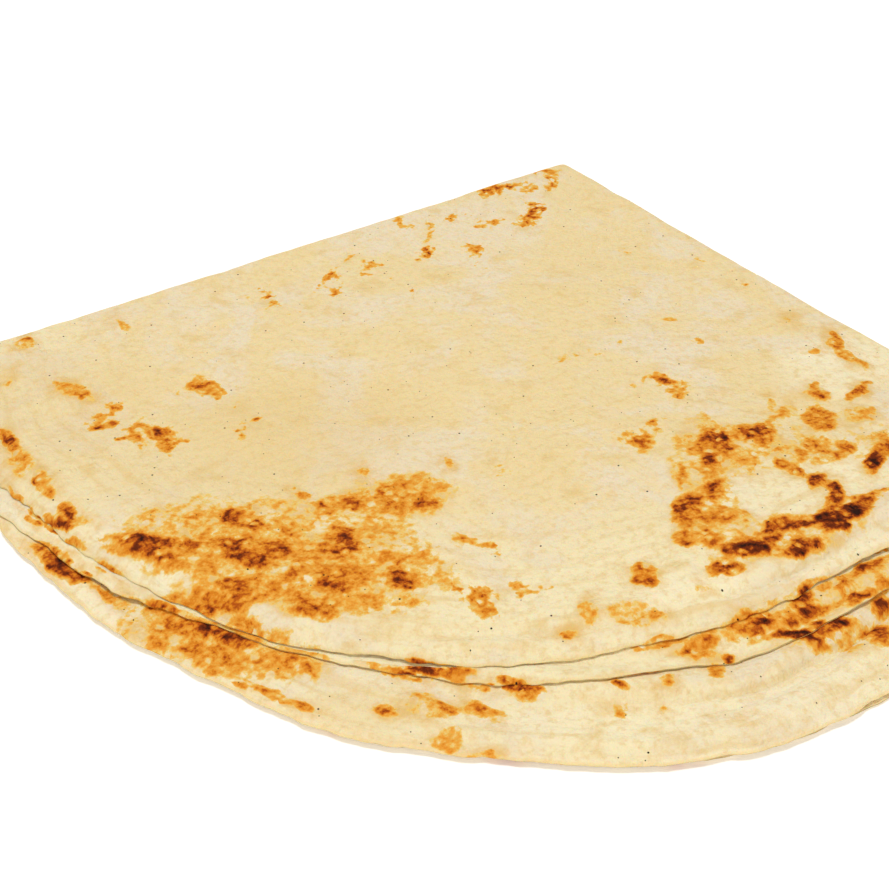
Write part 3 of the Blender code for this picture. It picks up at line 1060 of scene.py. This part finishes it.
def lavash_material():
    material = bpy.data.materials.new("lavash_dough")
    material.use_nodes = True
    tree = material.node_tree
    shader = tree.nodes["Principled BSDF"]
    nodes = Nodes(tree)
    place, along_rim = nodes.kept_place("sheet_place"), nodes.kept_place("rim_place")
    heat = heat_field(nodes, place)
    colour = baked_colour(nodes, heat, dough_colour(nodes, place, along_rim))
    tree.links.new(flecked(nodes, place, colour), shader.inputs["Base Color"])
    tree.links.new(surface_bump(nodes, place, along_rim), shader.inputs["Normal"])
    shader.inputs["Roughness"].default_value = ROUGHNESS
    shader.inputs["Specular IOR Level"].default_value = SPECULAR_LEVEL
    shader.inputs["Subsurface Weight"].default_value = SUBSURFACE_WEIGHT
    shader.inputs["Subsurface Radius"].default_value = SUBSURFACE_RADIUS
    shader.inputs["Subsurface Scale"].default_value = SUBSURFACE_SCALE
    return material


def thin_out(piece, covered):
    """Collapses the covered parts of the sheet until it keeps to its share of triangles."""
    group = piece.vertex_groups.new(name="covered")
    group.add(np.flatnonzero(covered).tolist(), 1.0, "REPLACE")
    modifier = piece.modifiers.new("thin_out", "DECIMATE")
    modifier.ratio = TRIANGLE_LIMIT / (2 * len(piece.data.polygons))
    modifier.vertex_group = group.name
    evaluated = piece.evaluated_get(bpy.context.evaluated_depsgraph_get())
    thinned = bpy.data.meshes.new_from_object(evaluated)
    piece.modifiers.clear()
    piece.data = thinned
    piece.vertex_groups.clear()


def keep_value(mesh, name, values):
    """Keeps numbers or vectors on the mesh's vertices, for the material to read."""
    kind, field = ("FLOAT", "value") if values.ndim == 1 else ("FLOAT_VECTOR", "vector")
    mesh.attributes.new(name, kind, "POINT").data.foreach_set(field, values.astype(np.float32).ravel())


def make_lavash():
    values, quads = build_sheet()
    mesh = make_mesh("lavash_sheet", values.pop("co"), quads)
    covered = values.pop("fine") == 0
    for name, value in values.items():
        keep_value(mesh, name, value)
    mesh.materials.append(lavash_material())
    lavash = bpy.data.objects.new("lavash_sheet", mesh)
    bpy.context.scene.collection.objects.link(lavash)
    thin_out(lavash, covered)
    return lavash


# The pale floor glows a little, as a lit studio table does, so that only a thin warm shadow shows on it
FLOOR_SIZE = 8.0
FLOOR_DROP = 0.0002
FLOOR_COLOUR = (0.9, 0.9, 0.9, 1.0)
FLOOR_ROUGHNESS = 0.9
FLOOR_GLOW = (1.0, 0.94, 0.86, 1.0)
FLOOR_GLOW_STRENGTH = 0.24
# The lights, all aimed at the middle of the pad, with their sizes in metres and their power in watts, and
# the even light from all round
Light = namedtuple("Light", "name place size power colour")
LIGHTS = (
    Light("key_light", (-0.45, 0.00, 2.50), 0.8, 36.0, (0.91, 0.945, 1.0)),
    Light("fill_light", (0.7, -1.4, 0.9), 1.4, 8.0, (1.0, 0.985, 0.95)),
)
STUDIO_COLOUR = (1.0, 0.90, 0.74, 1.0)
STUDIO_STRENGTH = 0.46


def make_floor():
    bpy.ops.mesh.primitive_plane_add(size=FLOOR_SIZE)
    floor = bpy.context.object
    floor.name = "floor"
    floor.location.z = cad_box[0][2] - FLOOR_DROP
    material = bpy.data.materials.new("pale_floor")
    material.use_nodes = True
    shader = material.node_tree.nodes["Principled BSDF"]
    shader.inputs["Base Color"].default_value = FLOOR_COLOUR
    shader.inputs["Roughness"].default_value = FLOOR_ROUGHNESS
    shader.inputs["Specular IOR Level"].default_value = 0.0
    shader.inputs["Emission Color"].default_value = FLOOR_GLOW
    shader.inputs["Emission Strength"].default_value = FLOOR_GLOW_STRENGTH
    floor.data.materials.append(material)


def make_light(light):
    data = bpy.data.lights.new(light.name, "AREA")
    data.shape = "DISK"
    data.size = light.size
    data.energy = light.power
    data.color = light.colour
    lamp = bpy.data.objects.new(light.name, data)
    bpy.context.scene.collection.objects.link(lamp)
    lamp.location = light.place
    aim = Vector((0.0, 0.0, 0.0)) - lamp.location
    lamp.rotation_euler = aim.to_track_quat("-Z", "Y").to_euler()


def make_lights():
    for light in LIGHTS:
        make_light(light)
    world = bpy.data.worlds.new("studio")
    world.use_nodes = True
    background = world.node_tree.nodes["Background"]
    background.inputs["Color"].default_value = STUDIO_COLOUR
    background.inputs["Strength"].default_value = STUDIO_STRENGTH
    bpy.context.scene.world = world
    bpy.context.scene.view_settings.view_transform = "Standard"


def make_camera():
    data = bpy.data.cameras.new("camera")
    data.sensor_width = SENSOR_WIDTH
    data.lens = SENSOR_WIDTH * FOCAL_LENGTH / FRAME_SIZE
    camera = bpy.data.objects.new("camera", data)
    camera.location = CAMERA_PLACE
    camera.rotation_euler = (math.radians(90 - CAMERA_DOWN), 0.0, math.radians(CAMERA_HEADING))
    bpy.context.scene.collection.objects.link(camera)
    bpy.context.scene.camera = camera


def main():
    lavash = make_lavash()
    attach(lavash, "root")
    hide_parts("lavash")
    make_floor()
    make_lights()
    make_camera()


main()
